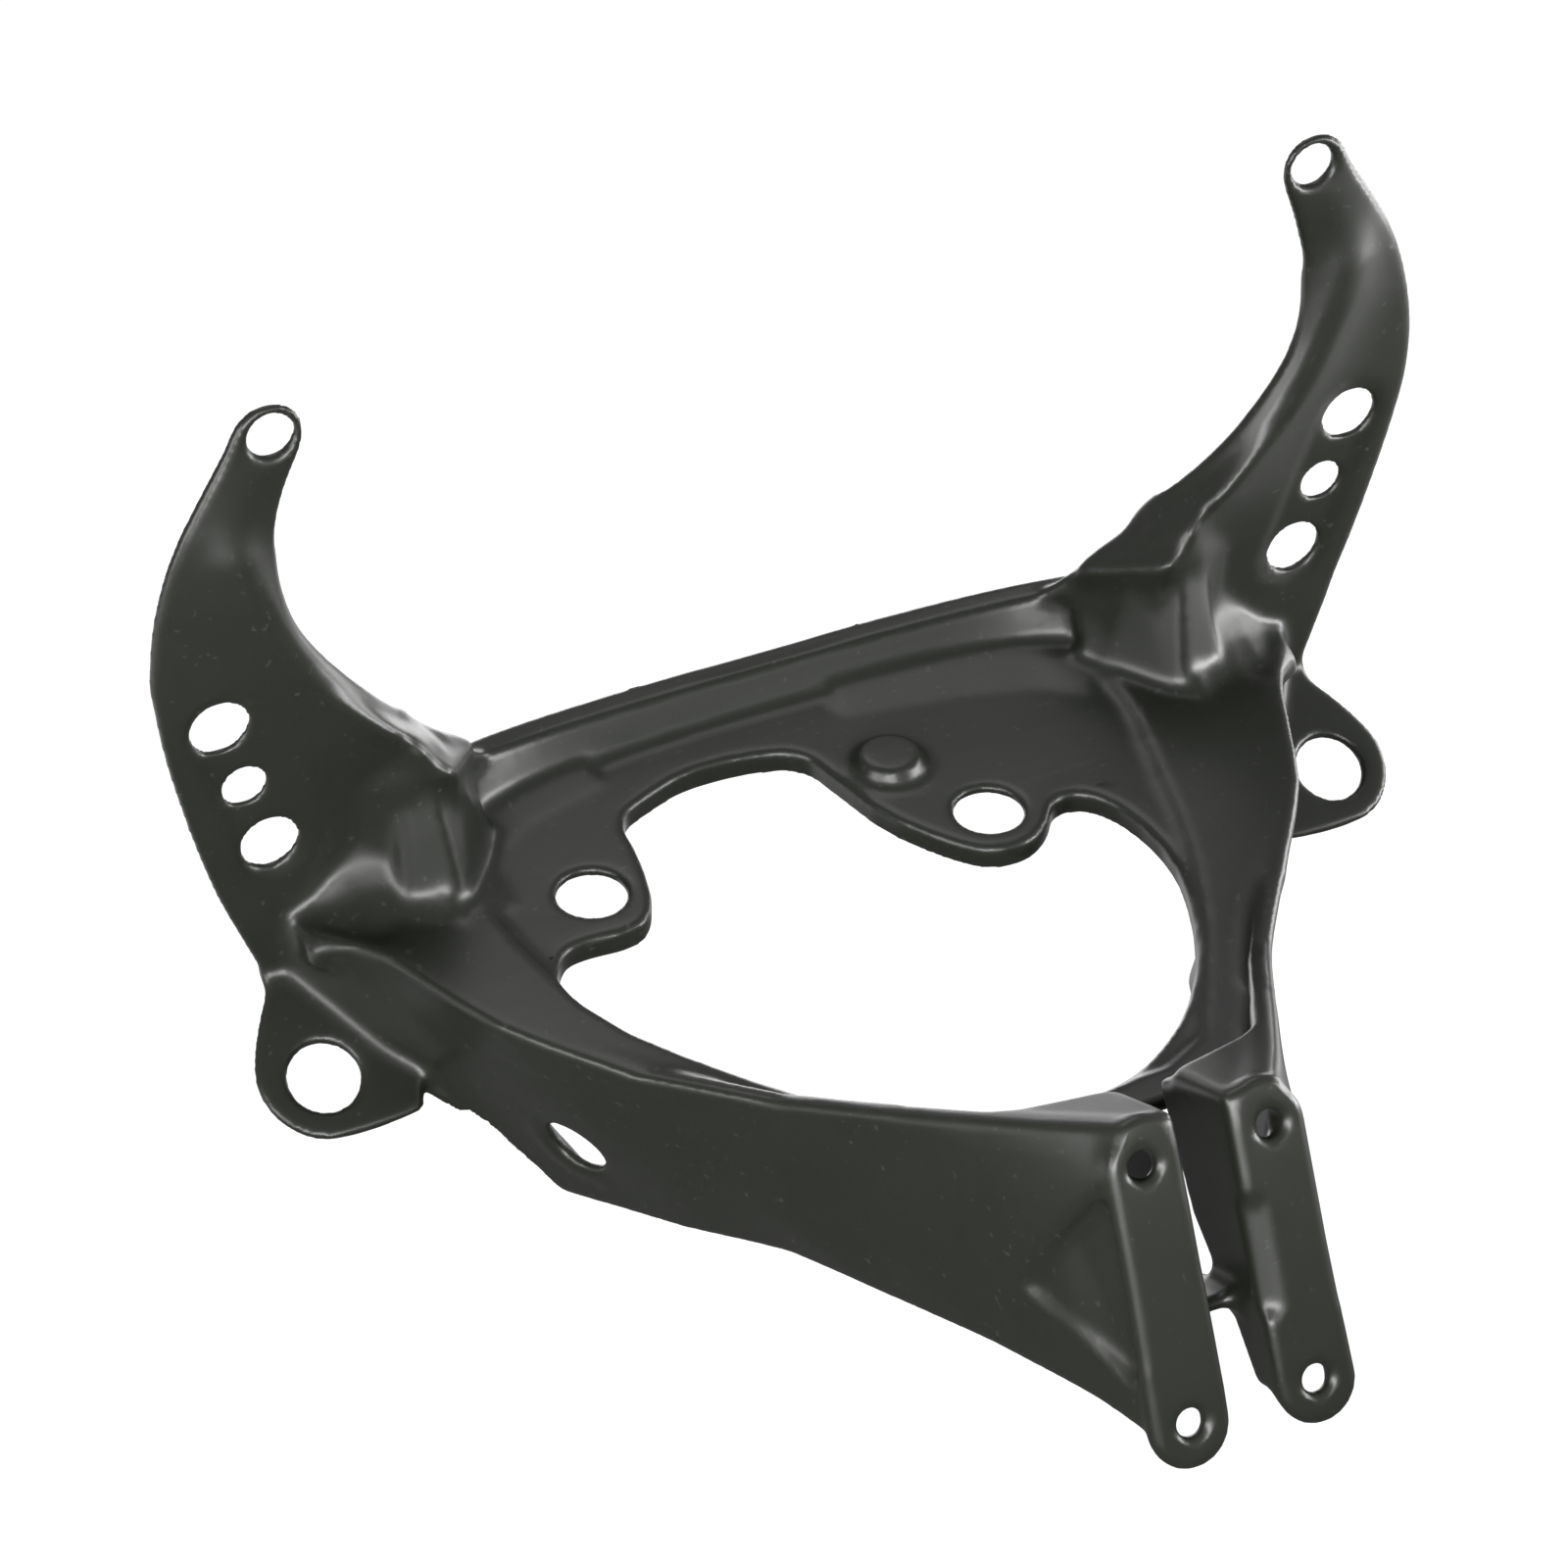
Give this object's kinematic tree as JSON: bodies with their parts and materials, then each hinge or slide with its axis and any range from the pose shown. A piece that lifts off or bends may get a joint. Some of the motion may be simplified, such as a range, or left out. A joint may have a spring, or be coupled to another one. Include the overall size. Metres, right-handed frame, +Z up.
{
  "type": "headlight mounting bracket",
  "caption": "Headlight mounting bracket of a motorcycle: a black casting with two upright horns, a ring frame, drilled ears and rear bolt lugs.",
  "frame": {"origin": "centre of the four bolt holes, on the flat rear faces of the lugs", "axes": "+X to the right and +Z up as seen from the rider's side, where the picture is taken; +Y forward, away from the lugs' rear faces; X = 0 is the middle"},
  "size_m": [0.3846, 0.2565, 0.2993],
  "materials": {
    "black_coating": "satin"
  },
  "bodies": {
    "root": {"bracket_casting": "black_coating"}
  },
  "joints": []
}
